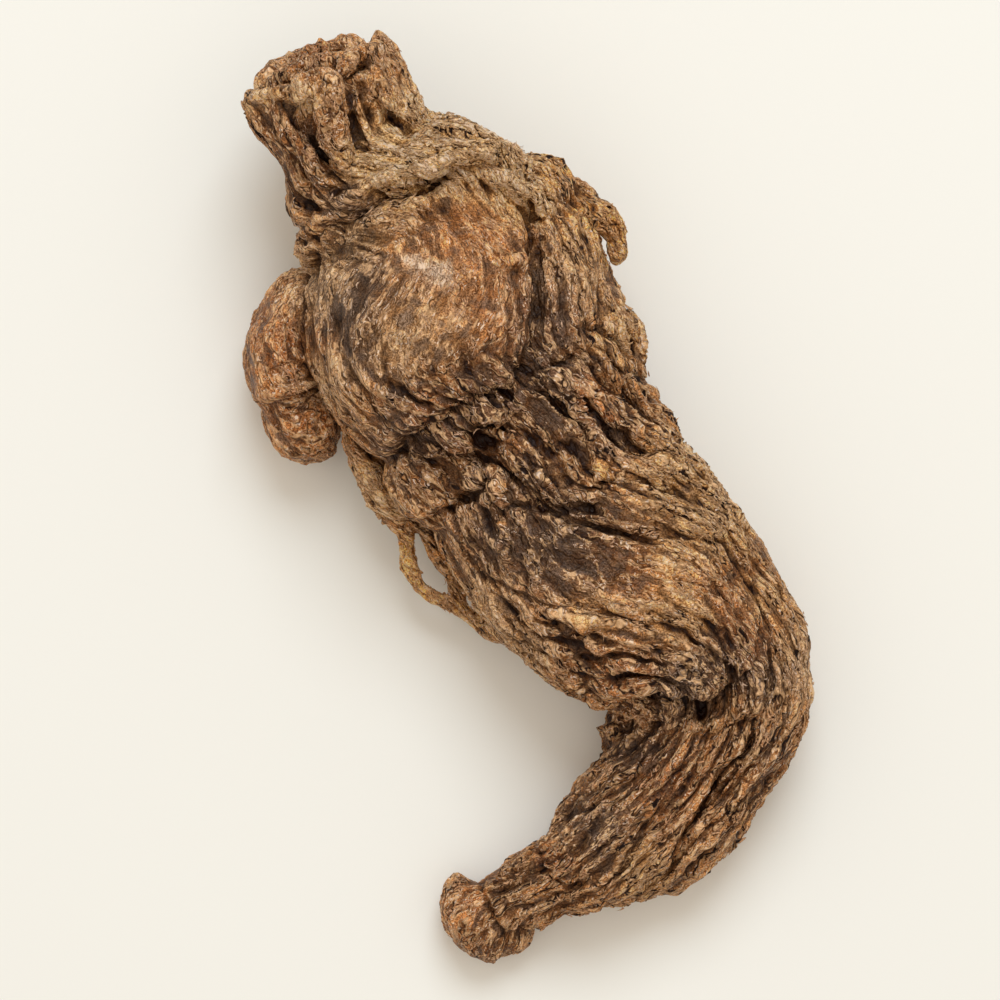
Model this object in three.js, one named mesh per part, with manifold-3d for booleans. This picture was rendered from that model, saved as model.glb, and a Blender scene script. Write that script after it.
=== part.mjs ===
// A dried rehmannia root, lying on its side: a plump bulb under a broken crown, a twisted belly, and a
// tail that doubles back. It grew as one piece, so it is one solid. Millimetres, +Z up, resting on Z = 0,
// with +Y towards the crown and the origin under the middle of its outline.
import * as THREE from "three";
import { mergeVertices } from "three/addons/utils/BufferGeometryUtils.js";
import Module from "manifold-3d";

// Driving dimensions. Every swelling below is drawn for a root of this length.
const LENGTH = 102;
const DRAWN_LENGTH = 102;
const SCALE = LENGTH / DRAWN_LENGTH;

// Crown: the stub of the old stem, a broken cup at the end of the neck.
const CROWN_CENTRE = [-22.7, 46.2, 18.2];
const CROWN_AIM = [-0.37, 0.88, 0.29];
const CROWN_HEIGHT_TO_WIDTH = 0.86;
const CROWN_SIDES = 44;
// Outside of the neck, over the lip, down the inside and across the floor, as radius and height.
const CROWN_PROFILE = [
  [0, -17],
  [7.6, -16],
  [8.6, -13],
  [7.9, -9],
  [7.5, -5],
  [7.9, -2.2],
  [8.4, -0.3],
  [8.0, 0.5],
  [7.2, 0.1],
  [6.4, -2],
  [5.5, -4.4],
  [3.5, -5],
  [2.4, -3.4],
  [0, -2.9],
];
const LIP_BEGINS = -5; // below this height the neck keeps its plain outline
const FLUTE_DEPTH = 0.07;

// Ground: what the root rests on shaves the lowest points flat, which steadies it.
const GROUND_SIZE = 240;

// The body's swellings. Each row is the centre X, Y, Z of one section, its half width and its half height,
// from one tip to the other. A tip has no width.
const BULB = [
  [-7.0, 35.4, 16.5, 0, 0],
  [-8.2, 29.5, 15.4, 11.3, 11.2],
  [-9.8, 20.8, 14.2, 14.1, 14.5],
  [-12.0, 12.0, 13.2, 12.2, 12.6],
  [-14.6, 4.4, 12.0, 0, 0],
];
const BULB_SIDE = [
  [3.2, 33.0, 14.0, 0, 0],
  [3.4, 27.6, 13.6, 4.4, 7.6],
  [3.4, 21.6, 13.4, 5.2, 9.4],
  [2.0, 16.0, 13.0, 4.8, 8.6],
  [-0.6, 11.0, 12.5, 0, 0],
];
const TRUNK = [
  [-4.0, 36.0, 12.0, 0, 0],
  [-5.4, 29.0, 12.0, 11.0, 10.4],
  [-2.2, 18.6, 11.6, 12.6, 11.0],
  [-0.4, 9.6, 11.0, 13.2, 10.8],
  [2.8, 1.9, 11.2, 14.0, 10.9],
  [8.2, -5.8, 11.6, 14.2, 11.9],
  [14.0, -12.2, 11.4, 13.2, 11.8],
  [19.4, -18.0, 10.6, 10.4, 9.8],
  [23.6, -22.6, 9.4, 6.6, 6.6],
  [25.8, -25.8, 8.6, 0, 0],
];
const OUTER_FOLD = [
  [17.0, 2.0, 9.6, 0, 0],
  [22.0, -5.6, 9.6, 3.0, 5.2],
  [26.6, -13.8, 8.8, 3.4, 7.2],
  [27.2, -22.8, 8.0, 3.9, 7.4],
  [23.6, -30.2, 7.2, 3.6, 6.6],
  [18.4, -37.0, 6.4, 3.9, 5.4],
  [12.0, -44.4, 5.2, 0, 0],
];
const TAIL = [
  [25.4, -18.4, 9.0, 0, 0],
  [20.8, -24.8, 8.4, 6.0, 7.2],
  [15.0, -31.4, 7.3, 6.9, 7.5],
  [9.8, -37.4, 6.8, 6.8, 7.0],
  [6.2, -41.6, 6.2, 5.2, 6.1],
  [4.2, -45.8, 5.6, 0, 0],
];
const WRIST = [
  [9.6, -37.4, 6.2, 0, 0],
  [3.4, -41.4, 5.4, 4.3, 4.7],
  [-0.4, -43.6, 4.8, 3.7, 4.1],
  [-3.8, -45.2, 4.2, 3.2, 3.6],
  [-6.6, -46.8, 4.0, 0, 0],
];
const KNOB = [
  [-8.0, -41.4, 4.2, 0, 0],
  [-7.6, -43.6, 4.0, 1.9, 2.9],
  [-6.3, -46.4, 3.6, 2.9, 3.9],
  [-4.0, -49.2, 3.5, 2.6, 3.4],
  [-2.4, -50.8, 3.4, 0, 0],
];
const KNOB_HEEL = [
  [-4.4, -47.6, 3.6, 0, 0],
  [-1.6, -48.4, 3.6, 2.1, 2.8],
  [0.8, -47.4, 3.6, 0, 0],
];
const TAIL_CROOK = [
  [11.4, -21.6, 5.6, 0, 0],
  [10.8, -25.0, 5.6, 1.8, 3.6],
  [10.4, -28.0, 5.4, 1.8, 3.2],
  [9.6, -31.0, 5.0, 0, 0],
];

// Side lobes, low on the left of the bulb, and the small one below it.
const SIDE_LOBE = [
  [-24.4, 25.4, 9.4, 0, 0],
  [-25.6, 20.8, 8.6, 4.0, 6.4],
  [-26.6, 16.4, 8.0, 4.8, 7.2],
  [-26.3, 12.0, 7.6, 4.0, 6.2],
  [-24.6, 9.0, 7.4, 0, 0],
];
const SIDE_LOBE_FOOT = [
  [-26.6, 13.4, 7.2, 0, 0],
  [-25.8, 10.4, 6.6, 3.9, 5.4],
  [-24.2, 7.6, 6.2, 3.9, 5.2],
  [-21.8, 4.6, 6.0, 0, 0],
];
const SMALL_LOBE = [
  [-11.8, 8.0, 13.0, 0, 0],
  [-11.0, 4.8, 13.2, 4.4, 6.4],
  [-10.0, 1.2, 13.0, 4.9, 6.8],
  [-8.2, -3.2, 12.6, 0, 0],
];

// The shoulder that carries the neck, and the folds of skin gathered round it.
const SHOULDER = [
  [-22.0, 40.0, 15.0, 0, 0],
  [-17.4, 35.8, 15.2, 9.2, 7.6],
  [-12.6, 31.4, 15.0, 10.6, 9.0],
  [-6.6, 28.6, 14.6, 10.0, 9.4],
  [0.8, 26.0, 14.0, 0, 0],
];
const COLLAR = [
  [-20.6, 28.8, 18.0, 0, 0],
  [-17.6, 32.4, 19.2, 2.1, 2.8],
  [-13.8, 35.6, 20.0, 3.4, 3.8],
  [-8.4, 37.2, 19.6, 3.9, 4.6],
  [-3.0, 35.8, 18.2, 3.5, 4.8],
  [2.2, 33.2, 16.4, 2.8, 4.0],
  [6.6, 29.8, 14.0, 0, 0],
];
const LOWER_COLLAR = [
  [-24.0, 25.0, 12.2, 0, 0],
  [-23.6, 28.0, 14.0, 2.0, 3.0],
  [-20.6, 30.8, 16.4, 1.8, 2.8],
  [-16.8, 32.2, 18.2, 1.4, 2.4],
  [-13.6, 33.2, 19.0, 0, 0],
];

// Rootlets: thin side roots that dried against the body.
const CURLED_ROOTLET = [
  [0.0, 35.0, 17.0, 0, 0],
  [3.4, 33.3, 16.2, 1.7, 1.8],
  [6.4, 31.6, 15.2, 1.4, 1.6],
  [9.0, 29.6, 14.0, 1.3, 1.4],
  [10.3, 27.6, 13.2, 1.2, 1.3],
  [9.8, 25.2, 12.8, 0, 0],
];
const BENT_STUB = [
  [4.0, 17.0, 16.4, 0, 0],
  [7.4, 19.8, 14.6, 1.2, 1.6],
  [10.4, 19.2, 12.4, 1.4, 2.0],
  [11.4, 16.4, 10.6, 1.5, 2.4],
  [9.8, 13.6, 9.4, 0, 0],
];
const HANK = [
  [-20.4, 9.2, 10.2, 0, 0],
  [-18.6, 6.2, 10.0, 1.2, 1.5],
  [-17.0, 3.0, 9.6, 1.5, 1.8],
  [-15.4, 0.4, 9.2, 1.9, 2.1],
  [-13.6, -2.6, 8.6, 1.3, 1.4],
  [-12.8, -4.6, 8.0, 0, 0],
];
const LOOPED_ROOTLET = [
  [-14.6, -1.4, 9.0, 0, 0],
  [-13.6, -4.0, 8.0, 0.85, 0.85],
  [-13.2, -7.0, 7.0, 0.8, 0.8],
  [-12.1, -9.5, 6.4, 0.8, 0.8],
  [-9.6, -11.2, 5.9, 0.8, 0.8],
  [-6.8, -12.8, 5.8, 0.9, 0.9],
  [-4.0, -14.4, 6.2, 0.9, 0.9],
  [-1.0, -15.0, 6.8, 0, 0],
];
const INNER_ROOTLET = [
  [-12.6, -1.0, 8.2, 0, 0],
  [-10.6, -4.2, 7.6, 1.1, 1.2],
  [-8.9, -7.6, 6.6, 0.9, 1.0],
  [-7.4, -11.2, 5.9, 0.9, 0.9],
  [-5.4, -13.8, 5.8, 0, 0],
];

const wasm = await Module();
wasm.setup();

// A three.js geometry as a manifold-3d solid.
function solidOf(geometry) {
  const bare = geometry.clone();
  bare.deleteAttribute("normal");
  bare.deleteAttribute("uv");
  const merged = mergeVertices(bare, 1e-4);
  return new wasm.Manifold(
    new wasm.Mesh({
      numProp: 3,
      vertProperties: merged.attributes.position.array,
      triVerts: new Uint32Array(merged.index.array),
    }),
  );
}

// A manifold-3d solid as a three.js geometry.
function geometryOf(solid) {
  const mesh = solid.getMesh();
  return new THREE.BufferGeometry()
    .setAttribute("position", new THREE.BufferAttribute(mesh.vertProperties, 3))
    .setIndex(new THREE.BufferAttribute(mesh.triVerts, 1));
}

// The directions across a body that runs along `tangent`: one level, one upright.
function across(tangent) {
  const level = new THREE.Vector3().crossVectors(tangent, new THREE.Vector3(0, 0, 1)).normalize();
  const upright = new THREE.Vector3().crossVectors(level, tangent).normalize();
  return { level, upright };
}

// A plump body along a smooth spine through the rows. The squares of the half sizes are what is
// interpolated, so that the section's area changes evenly and each tip comes out round.
function swelling(rows, sides, rings) {
  const spine = new THREE.CatmullRomCurve3(rows.map(([x, y, z]) => new THREE.Vector3(x, y, z)));
  const girth = new THREE.CatmullRomCurve3(
    rows.map(([, , , width, height]) => new THREE.Vector3(width ** 2, height ** 2, 0)),
    false,
    "catmullrom",
    0.5,
  );
  const geometry = new THREE.SphereGeometry(1, sides, rings);
  const position = geometry.attributes.position;
  const ball = new THREE.Vector3();
  for (let i = 0; i < position.count; i++) {
    ball.fromBufferAttribute(position, i);
    const along = THREE.MathUtils.clamp((1 - ball.y) / 2, 0, 1);
    const out = Math.hypot(ball.x, ball.z) || 1;
    const section = girth.getPoint(along);
    const width = Math.sqrt(Math.max(section.x, 0));
    const height = Math.sqrt(Math.max(section.y, 0));
    const { level, upright } = across(spine.getTangent(along));
    const point = spine
      .getPoint(along)
      .addScaledVector(level, (width * ball.x) / out)
      .addScaledVector(upright, (-height * ball.z) / out);
    position.setXYZ(i, point.x, point.y, point.z);
  }
  return solidOf(geometry);
}

// 1 at `centre` falling to 0 at `reach` either side of it, both in degrees round the crown.
function swell(angle, centre, reach) {
  const away = THREE.MathUtils.euclideanModulo(angle - centre + 180, 360) - 180;
  return Math.abs(away) < reach ? 0.5 + 0.5 * Math.cos((Math.PI * away) / reach) : 0;
}

// The broken cup at the top of the neck. Angle 0 is its right, 90 its upper side, 180 its left. Its lip
// is torn into horns, and its wall is fluted where the leaf bases grew.
function crown() {
  const profile = CROWN_PROFILE.map(([radius, height]) => new THREE.Vector2(radius, height));
  const geometry = new THREE.LatheGeometry(profile, CROWN_SIDES);
  const aim = new THREE.Vector3(...CROWN_AIM).normalize();
  const { level, upright } = across(aim);
  const position = geometry.attributes.position;
  for (let i = 0; i < position.count; i++) {
    const height = position.getY(i);
    const radius = Math.hypot(position.getX(i), position.getZ(i));
    const angle = THREE.MathUtils.radToDeg(Math.atan2(-position.getZ(i), position.getX(i)));
    const lip = THREE.MathUtils.smoothstep(height, LIP_BEGINS, 0) * Math.min(1, radius / 5);
    const horns =
      2.6 * swell(angle, 15, 26) +
      1.2 * swell(angle, 178, 30) +
      1.9 * swell(angle, -60, 55) +
      1.4 * swell(angle, -130, 40) -
      1.5 * swell(angle, 48, 22) -
      0.8 * swell(angle, 150, 22);
    const flare = 1.9 * swell(angle, 176, 34) - 0.9 * swell(angle, 20, 40);
    const flutes = FLUTE_DEPTH * Math.cos(THREE.MathUtils.degToRad(7 * angle + 40));
    const reach = radius * (1 + flutes * Math.min(1, radius / 6)) + lip * flare;
    const turn = THREE.MathUtils.degToRad(angle);
    const point = new THREE.Vector3(...CROWN_CENTRE)
      .addScaledVector(aim, height + lip * horns)
      .addScaledVector(level, -reach * Math.cos(turn))
      .addScaledVector(upright, reach * Math.sin(turn) * CROWN_HEIGHT_TO_WIDTH);
    position.setXYZ(i, point.x, point.y, point.z);
  }
  return solidOf(geometry);
}

function ground() {
  const block = new THREE.BoxGeometry(GROUND_SIZE, GROUND_SIZE, GROUND_SIZE);
  return solidOf(block.translate(0, 0, -GROUND_SIZE / 2));
}

// Large swellings have more sides and rings than small ones.
const SWELLINGS = [
  [BULB, 30, 22],
  [TRUNK, 30, 30],
  [BULB_SIDE, 18, 14],
  [SHOULDER, 20, 12],
  [OUTER_FOLD, 16, 22],
  [TAIL, 18, 18],
  [WRIST, 14, 10],
  [KNOB, 14, 12],
  [KNOB_HEEL, 10, 6],
  [TAIL_CROOK, 10, 8],
  [SIDE_LOBE, 18, 12],
  [SIDE_LOBE_FOOT, 16, 10],
  [SMALL_LOBE, 16, 12],
  [COLLAR, 12, 20],
  [LOWER_COLLAR, 10, 12],
  [CURLED_ROOTLET, 8, 16],
  [BENT_STUB, 8, 12],
  [HANK, 8, 14],
  [LOOPED_ROOTLET, 8, 22],
  [INNER_ROOTLET, 8, 12],
];

// Everything grown together, with the lowest points shaved flat and the origin under its middle.
function rootGeometry() {
  const grown = SWELLINGS.map(([rows, sides, rings]) => swelling(rows, sides, rings));
  const whole = grown.reduce((sum, part) => sum.add(part), crown());
  const geometry = geometryOf(whole.subtract(ground()));
  geometry.computeBoundingBox();
  const middle = geometry.boundingBox.getCenter(new THREE.Vector3());
  return geometry.translate(-middle.x, -middle.y, 0);
}

const skin = new THREE.MeshStandardMaterial({ color: 0x6b4a30, roughness: 0.72, metalness: 0 });
const root = new THREE.Mesh(rootGeometry(), skin);
root.name = "root";
root.scale.setScalar(SCALE);

const group = new THREE.Group();
group.add(root);
export default group;
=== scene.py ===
import math

import bpy
import numpy as np
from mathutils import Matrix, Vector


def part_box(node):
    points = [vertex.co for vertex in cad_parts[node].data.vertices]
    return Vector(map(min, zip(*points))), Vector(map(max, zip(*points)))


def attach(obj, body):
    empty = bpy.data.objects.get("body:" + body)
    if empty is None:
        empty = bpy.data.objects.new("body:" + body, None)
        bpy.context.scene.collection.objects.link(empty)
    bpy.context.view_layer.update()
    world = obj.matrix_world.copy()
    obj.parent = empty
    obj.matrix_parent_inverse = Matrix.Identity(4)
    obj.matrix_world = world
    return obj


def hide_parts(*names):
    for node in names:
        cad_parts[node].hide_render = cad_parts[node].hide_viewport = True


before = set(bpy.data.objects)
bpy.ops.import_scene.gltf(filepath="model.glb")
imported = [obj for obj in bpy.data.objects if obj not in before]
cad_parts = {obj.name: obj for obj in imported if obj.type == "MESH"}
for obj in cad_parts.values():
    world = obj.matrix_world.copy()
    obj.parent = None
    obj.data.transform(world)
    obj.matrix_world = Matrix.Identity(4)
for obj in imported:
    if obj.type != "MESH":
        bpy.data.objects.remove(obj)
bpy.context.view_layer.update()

# The root's swellings: bulb, belly, tail and lobes. The real root is one piece of flesh that shrank as it
# dried, so the swellings are closed forms that overlap, and one skin is later drawn over all of them.
# Lengths are in millimetres in the frame's directions, drawn for a root 102.7 long.
root_low, root_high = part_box("root")
SIZE = 1000 * (root_high[1] - root_low[1]) / 102.74

# Each row is the centre of one section, x, y and z, then its half width and half height.
SWELLINGS = {
    "bulb": [
        (-7.0, 35.4, 16.5, 0, 0),
        (-8.2, 29.5, 15.4, 11.3, 11.2),
        (-9.8, 20.8, 14.2, 14.1, 14.5),
        (-12.0, 12.0, 13.2, 12.2, 12.6),
        (-14.6, 4.4, 12.0, 0, 0),
    ],
    "bulb_side": [
        (3.2, 33.0, 14.0, 0, 0),
        (3.4, 27.6, 13.6, 4.4, 7.6),
        (3.4, 21.6, 13.4, 5.2, 9.4),
        (2.0, 16.0, 13.0, 4.8, 8.6),
        (-0.6, 11.0, 12.5, 0, 0),
    ],
    "trunk": [
        (-4.0, 36.0, 12.0, 0, 0),
        (-5.4, 29.0, 12.0, 11.0, 10.4),
        (-2.2, 18.6, 11.6, 12.6, 11.0),
        (-0.4, 9.6, 11.0, 13.2, 10.8),
        (2.8, 1.9, 11.2, 14.0, 10.9),
        (8.2, -5.8, 11.6, 14.2, 11.9),
        (14.0, -11.8, 11.4, 13.0, 11.8),
        (20.0, -16.8, 10.6, 8.8, 9.8),
        (24.6, -20.8, 9.4, 5.0, 6.6),
        (26.4, -23.6, 8.6, 0, 0),
    ],
    "outer_fold": [
        (17.0, 2.0, 9.6, 0, 0),
        (22.0, -5.6, 9.6, 3.0, 5.2),
        (26.6, -13.8, 8.8, 3.4, 7.2),
        (27.2, -22.8, 8.0, 3.9, 7.4),
        (23.6, -30.2, 7.2, 3.6, 6.6),
        (18.4, -37.0, 6.4, 3.9, 5.4),
        (12.0, -44.4, 5.2, 0, 0),
    ],
    "tail": [
        (25.4, -18.4, 9.0, 0, 0),
        (20.8, -24.8, 8.4, 6.0, 7.2),
        (15.0, -31.4, 7.3, 6.9, 7.5),
        (9.8, -37.4, 6.8, 6.8, 7.0),
        (6.2, -41.6, 6.2, 5.2, 6.1),
        (4.2, -45.8, 5.6, 0, 0),
    ],
    "wrist": [
        (9.6, -37.4, 6.2, 0, 0),
        (3.4, -41.4, 5.4, 4.3, 4.7),
        (-0.4, -43.6, 4.8, 3.7, 4.1),
        (-3.8, -45.2, 4.2, 3.2, 3.6),
        (-6.6, -46.8, 4.0, 0, 0),
    ],
    "knob": [
        (-8.0, -41.4, 4.2, 0, 0),
        (-7.6, -43.6, 4.0, 1.9, 2.9),
        (-6.3, -46.4, 3.6, 2.9, 3.9),
        (-4.0, -49.2, 3.5, 2.6, 3.4),
        (-2.4, -50.8, 3.4, 0, 0),
    ],
    "knob_heel": [
        (-4.4, -47.6, 3.6, 0, 0),
        (-1.6, -48.4, 3.6, 2.1, 2.8),
        (0.8, -47.4, 3.6, 0, 0),
    ],
    "tail_crook": [
        (11.4, -21.6, 5.6, 0, 0),
        (10.8, -25.0, 5.6, 1.8, 3.6),
        (10.4, -28.0, 5.4, 1.8, 3.2),
        (9.6, -31.0, 5.0, 0, 0),
    ],
    "side_lobe": [
        (-24.4, 25.4, 9.4, 0, 0),
        (-25.6, 20.8, 8.6, 4.0, 6.4),
        (-26.6, 16.4, 8.0, 4.8, 7.2),
        (-26.3, 12.0, 7.6, 4.0, 6.2),
        (-24.6, 9.0, 7.4, 0, 0),
    ],
    "side_lobe_foot": [
        (-26.6, 13.4, 7.2, 0, 0),
        (-25.8, 10.4, 6.6, 3.9, 5.4),
        (-24.2, 7.6, 6.2, 3.9, 5.2),
        (-21.8, 4.6, 6.0, 0, 0),
    ],
    "small_lobe": [
        (-11.8, 8.0, 13.0, 0, 0),
        (-11.0, 4.8, 13.2, 4.4, 6.4),
        (-10.0, 1.2, 13.0, 4.9, 6.8),
        (-8.2, -3.2, 12.6, 0, 0),
    ],
    "shoulder": [
        (-22.0, 40.0, 15.0, 0, 0),
        (-17.4, 35.8, 15.2, 9.2, 7.6),
        (-12.6, 31.4, 15.0, 10.6, 9.0),
        (-6.6, 28.6, 14.6, 10.0, 9.4),
        (0.8, 26.0, 14.0, 0, 0),
    ],
    "collar": [
        (-20.6, 28.8, 18.0, 0, 0),
        (-17.6, 32.4, 19.2, 2.1, 2.8),
        (-13.8, 35.6, 20.0, 3.4, 3.8),
        (-8.4, 37.2, 19.6, 3.9, 4.6),
        (-3.4, 35.5, 18.2, 3.1, 4.8),
        (1.4, 33.0, 16.4, 2.2, 4.0),
        (5.4, 29.8, 14.0, 0, 0),
    ],
    "lower_collar": [
        (-24.0, 25.0, 12.2, 0, 0),
        (-23.6, 28.0, 14.0, 2.0, 3.0),
        (-20.6, 30.8, 16.4, 1.8, 2.8),
        (-16.8, 32.2, 18.2, 1.4, 2.4),
        (-13.6, 33.2, 19.0, 0, 0),
    ],
    "rootlet_foot": [
        (-1.8, 36.4, 17.4, 0, 0),
        (0.5, 36.4, 17.4, 1.4, 1.7),
        (2.5, 35.8, 16.9, 1.8, 2.0),
        (3.8, 34.3, 16.3, 1.4, 1.8),
        (4.6, 32.8, 15.8, 0, 0),
    ],
    "rootlet_lumps": [
        (3.9, 35.0, 15.4, 0, 0),
        (5.3, 34.0, 15.0, 1.2, 1.3),
        (6.3, 32.9, 14.6, 1.0, 1.1),
        (6.8, 31.9, 14.4, 0, 0),
    ],
    "curled_rootlet": [
        (3.0, 32.7, 16.2, 0, 0),
        (4.6, 32.1, 15.9, 1.2, 1.4),
        (6.9, 31.5, 15.2, 1.6, 1.7),
        (8.8, 30.3, 14.5, 1.4, 1.6),
        (9.9, 28.8, 13.8, 1.2, 1.4),
        (10.2, 27.3, 13.4, 1.5, 1.6),
        (9.4, 25.9, 13.2, 0, 0),
    ],
    "bulb_flap": [
        (-4.0, 25.1, 25.6, 0, 0),
        (-2.4, 25.7, 25.6, 0.7, 0.7),
        (-0.9, 26.0, 24.5, 1.1, 0.9),
        (-0.2, 25.0, 23.8, 0.7, 0.8),
        (0.1, 24.0, 23.1, 0, 0),
    ],
    "fold_rootlet": [
        (6.3, 8.2, 21.2, 0, 0),
        (7.0, 7.2, 21.9, 0.45, 0.6),
        (7.6, 5.9, 22.4, 0.28, 0.5),
        (8.1, 4.5, 22.6, 0.28, 0.5),
        (7.8, 3.0, 22.9, 0.28, 0.5),
        (7.4, 2.0, 23.0, 0.45, 0.5),
        (6.8, 1.0, 23.2, 0, 0),
    ],
    "lobe_rootlet": [
        (-4.3, 3.8, 20.6, 0, 0),
        (-3.7, 2.2, 21.6, 0.35, 0.5),
        (-3.0, 0.6, 21.7, 0.3, 0.5),
        (-2.7, -1.0, 22.0, 0.3, 0.5),
        (-2.8, -3.2, 22.5, 0.3, 0.5),
        (-3.2, -5.0, 22.4, 0.3, 0.5),
        (-3.4, -6.2, 21.2, 0, 0),
    ],
    "lobe_rootlet_fork": [
        (-2.9, -1.6, 22.1, 0, 0),
        (-2.6, -3.0, 22.3, 0.4, 0.5),
        (-2.2, -4.6, 22.2, 0.35, 0.5),
        (-2.4, -6.0, 21.4, 0.3, 0.5),
        (-2.6, -7.2, 20.2, 0, 0),
    ],
    "bent_stub": [
        (4.0, 17.0, 16.4, 0, 0),
        (7.4, 19.8, 14.6, 1.2, 1.6),
        (10.4, 19.2, 12.4, 1.4, 2.0),
        (11.4, 16.4, 10.6, 1.5, 2.4),
        (9.8, 13.6, 9.4, 0, 0),
    ],
    "hank": [
        (-20.4, 9.2, 10.2, 0, 0),
        (-18.6, 6.2, 10.0, 1.2, 1.5),
        (-17.0, 3.0, 9.6, 1.5, 1.8),
        (-15.4, 0.4, 9.2, 1.9, 2.1),
        (-13.6, -2.6, 8.6, 1.3, 1.4),
        (-12.8, -4.6, 8.0, 0, 0),
    ],
    "looped_rootlet": [
        (-14.6, -1.4, 9.0, 0, 0),
        (-13.6, -4.0, 8.0, 0.85, 0.85),
        (-13.2, -7.0, 7.0, 0.8, 0.8),
        (-12.1, -9.5, 6.4, 0.8, 0.8),
        (-9.6, -11.2, 5.9, 0.8, 0.8),
        (-6.8, -12.8, 5.8, 0.9, 0.9),
        (-4.0, -14.4, 6.2, 0.9, 0.9),
        (-1.0, -15.0, 6.8, 0, 0),
    ],
    "inner_rootlet": [
        (-12.6, -1.0, 8.2, 0, 0),
        (-10.6, -4.2, 7.6, 1.1, 1.2),
        (-8.9, -7.6, 6.6, 0.9, 1.0),
        (-7.4, -11.2, 5.9, 0.9, 0.9),
        (-5.4, -13.8, 5.8, 0, 0),
    ],
}


def smooth_path(points, places):
    """Catmull-Rom curve through the points, at places from 0 at the first point to 1 at the last. On each
    stretch it is the cubic that meets both points with a slope of half the step between their neighbours."""
    p = np.asarray(points, float)
    p = np.vstack([2 * p[0] - p[1], p, 2 * p[-1] - p[-2]])
    step = np.clip(places, 0, 1) * (len(p) - 3)
    i = np.minimum(step.astype(int), len(p) - 4)
    f = (step - i)[:, None]
    a, b, c, d = p[i], p[i + 1], p[i + 2], p[i + 3]
    return b + 0.5 * f * (c - a + f * (2 * a - 5 * b + 4 * c - d + f * (3 * (b - c) + d - a)))


def unit(vectors):
    """Each row divided by its length."""
    return vectors / np.maximum(np.linalg.norm(vectors, axis=-1, keepdims=True), 1e-9)


def across(tangents):
    """The two directions across a path: one level, one upright."""
    level = unit(np.cross(tangents, (0.0, 0.0, 1.0)))
    return level, unit(np.cross(level, tangents))


def grid_faces(rings, sides):
    """Four-sided faces of a grid of rings of points, each ring closed on itself."""
    ring, side = np.meshgrid(np.arange(rings - 1), np.arange(sides), indexing="ij")
    onward = (side + 1) % sides
    corners = (ring * sides + side, ring * sides + onward)
    return np.stack([*corners, corners[1] + sides, corners[0] + sides], -1).reshape(-1, 4)


def swelling(rows, step=0.5):
    """A plump body: the point at angle a round the section at t is centre(t) + width(t) cos(a) level +
    height(t) sin(a) upright. The squares of width and height follow the path, so the tips come out round."""
    rows = np.asarray(rows, float)
    length = np.linalg.norm(np.diff(rows[:, :3], axis=0), axis=1).sum()
    rings = int(length / step) + 8
    sides = max(12, int(2 * math.pi * rows[:, 3:].max() / step))
    t = (1 - np.cos(np.linspace(0, math.pi, rings))) / 2
    centre = smooth_path(rows[:, :3], t)
    girth = np.sqrt(np.maximum(smooth_path(rows[:, 3:] ** 2, t), 0))
    girth[[0, -1]] = 0
    level, upright = across(np.gradient(centre, axis=0))
    level, upright = level[:, None], upright[:, None]
    angle = np.linspace(0, 2 * math.pi, sides, endpoint=False)[None, :, None]
    ring = girth[:, None, :1] * np.cos(angle) * level + girth[:, None, 1:] * np.sin(angle) * upright
    return (centre[:, None] + ring).reshape(-1, 3), grid_faces(rings, sides)


forms = [swelling(rows) for rows in SWELLINGS.values()]

# The crown: the stub of the old stem, a broken cup of dry flesh, drawn up into ribs where leaf bases grew.
# It is one turned form with plump bodies laid on it. Its heights run from the lip, along the neck.
CROWN_CENTRE = np.array([-22.3, 45.4, 17.9])
CROWN_AIM = unit(np.array([-0.37, 0.88, 0.29]))
CROWN_FLATTENING = 0.86
# Radius and height from deep in the neck, over the lip, down the inside and across the floor.
CROWN_PROFILE = [
    (0, -17),
    (7.2, -16),
    (8.0, -13),
    (7.2, -9),
    (6.8, -5),
    (7.1, -2.2),
    (7.4, -0.3),
    (7.0, 0.5),
    (6.2, 0.1),
    (5.2, -2),
    (4.4, -3.6),
    (3.5, -4),
    (2.4, -3.4),
    (0, -3.1),
]
# Where round the lip it stands up or is broken away: angle, half breadth in degrees, height.
HORNS = [
    (178, 30, -0.6),
    (-60, 55, 1.2),
    (-130, 40, 0.6),
    (48, 22, -1.2),
    (150, 22, -0.8),
]
# The shallow flutes: angle, half breadth, how far each stands out.
FLUTES = [
    (128, 14, 0.5),
    (88, 13, 0.7),
    (40, 12, 0.6),
    (-25, 14, 0.9),
    (-60, 16, 1.1),
    (-95, 14, 0.9),
    (-130, 16, 1.1),
    (-162, 12, 0.8),
]
# Where the lip leans outwards, or inwards below 0: angle, half breadth, how far.
FLARES = [(176, 34, 0.9), (20, 40, -0.9)]
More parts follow.
